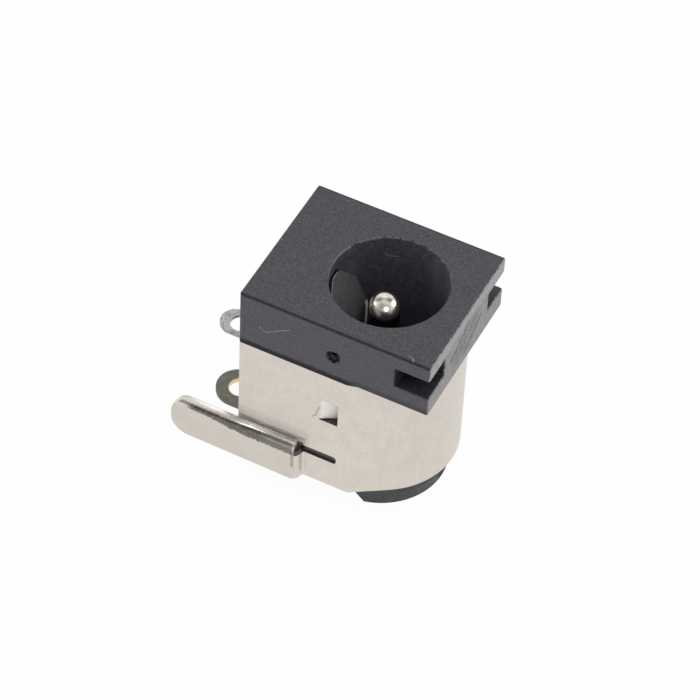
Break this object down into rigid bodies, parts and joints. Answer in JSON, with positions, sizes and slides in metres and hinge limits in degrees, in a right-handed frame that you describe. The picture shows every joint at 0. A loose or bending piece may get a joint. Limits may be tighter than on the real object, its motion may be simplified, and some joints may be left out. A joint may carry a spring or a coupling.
{
  "type": "dc barrel jack",
  "caption": "Board-mounted round DC power socket with a centre pin, a sleeve spring contact and a folded metal shield with board legs.",
  "frame": {"origin": "on the socket axis, in the plane of the moulding's rear face, which it stands on", "axes": "+Z out of the mouth along the socket axis; -X towards the circuit board; the two board legs lie on -Y and +Y"},
  "size_m": [0.0149, 0.01, 0.0136],
  "materials": {
    "black_moulding": "grainy matt black, semi-matt on the far edge",
    "plated_shield": "satin warm nickel plate",
    "plated_pin": "bright nickel plate",
    "plated_spring": "dull tin plate",
    "plated_terminal": "dull tin plate"
  },
  "bodies": {
    "root": {"housing": "black_moulding", "shield": "plated_shield", "center_pin": "plated_pin", "sleeve_contact": "plated_spring", "pin_terminal": "plated_terminal"}
  },
  "joints": []
}
